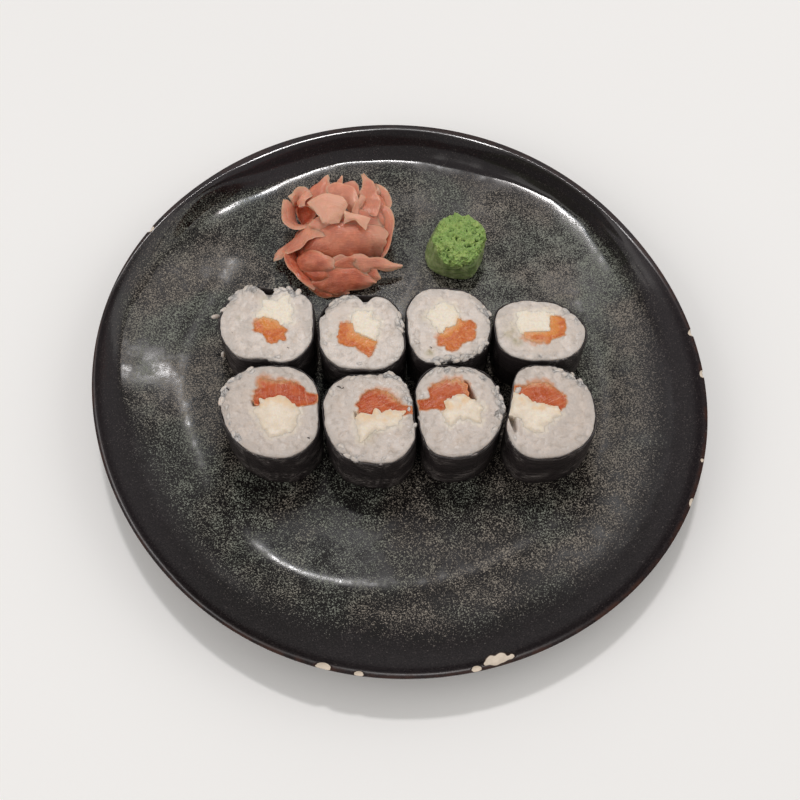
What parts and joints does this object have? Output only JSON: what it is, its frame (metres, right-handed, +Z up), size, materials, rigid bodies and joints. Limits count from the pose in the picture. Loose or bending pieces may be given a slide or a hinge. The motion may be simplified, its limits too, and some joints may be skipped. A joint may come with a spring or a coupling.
{
  "type": "maki sushi roll plate",
  "caption": "Oval hand-made stoneware plate carrying cut salmon and cream cheese maki in two rows, a heap of pickled ginger and a lump of wasabi.",
  "frame": {"origin": "on the table plane under the middle of the plate's outline box", "axes": "+Z up out of the plate; +X to the right along the two rows of maki; +Y away from the diner, towards the ginger and wasabi"},
  "size_m": [0.2636, 0.269, 0.0335],
  "materials": {
    "plate": "black-brown reactive glaze with dense grey-green speckle, near black towards the lip",
    "nori": "black-green roasted seaweed sheet, satin with fine slanting wrinkles",
    "rice": "moist cooked white rice, slightly translucent",
    "salmon": "raw orange salmon with pale fibre lines, moist",
    "cream": "soft cream cheese, smeared cut face",
    "ginger": "thin translucent pink pickled slices, moist",
    "wasabi": "crumbly light green paste, darker and smoother at the side"
  },
  "bodies": {
    "root": {"plate": "plate", "nori_1": "nori", "nori_2": "nori", "nori_3": "nori", "nori_4": "nori", "nori_5": "nori", "nori_6": "nori", "nori_7": "nori", "nori_8": "nori", "rice_1": "rice", "rice_2": "rice", "rice_3": "rice", "rice_4": "rice", "rice_5": "rice", "rice_6": "rice", "rice_7": "rice", "rice_8": "rice", "salmon_1": "salmon", "salmon_2": "salmon", "salmon_3": "salmon", "salmon_4": "salmon", "salmon_5": "salmon", "salmon_6": "salmon", "salmon_7": "salmon", "salmon_8": "salmon", "cream_1": "cream", "cream_2": "cream", "cream_3": "cream", "cream_4": "cream", "cream_5": "cream", "cream_6": "cream", "cream_7": "cream", "cream_8": "cream", "ginger": "ginger", "wasabi": "wasabi"}
  },
  "joints": []
}
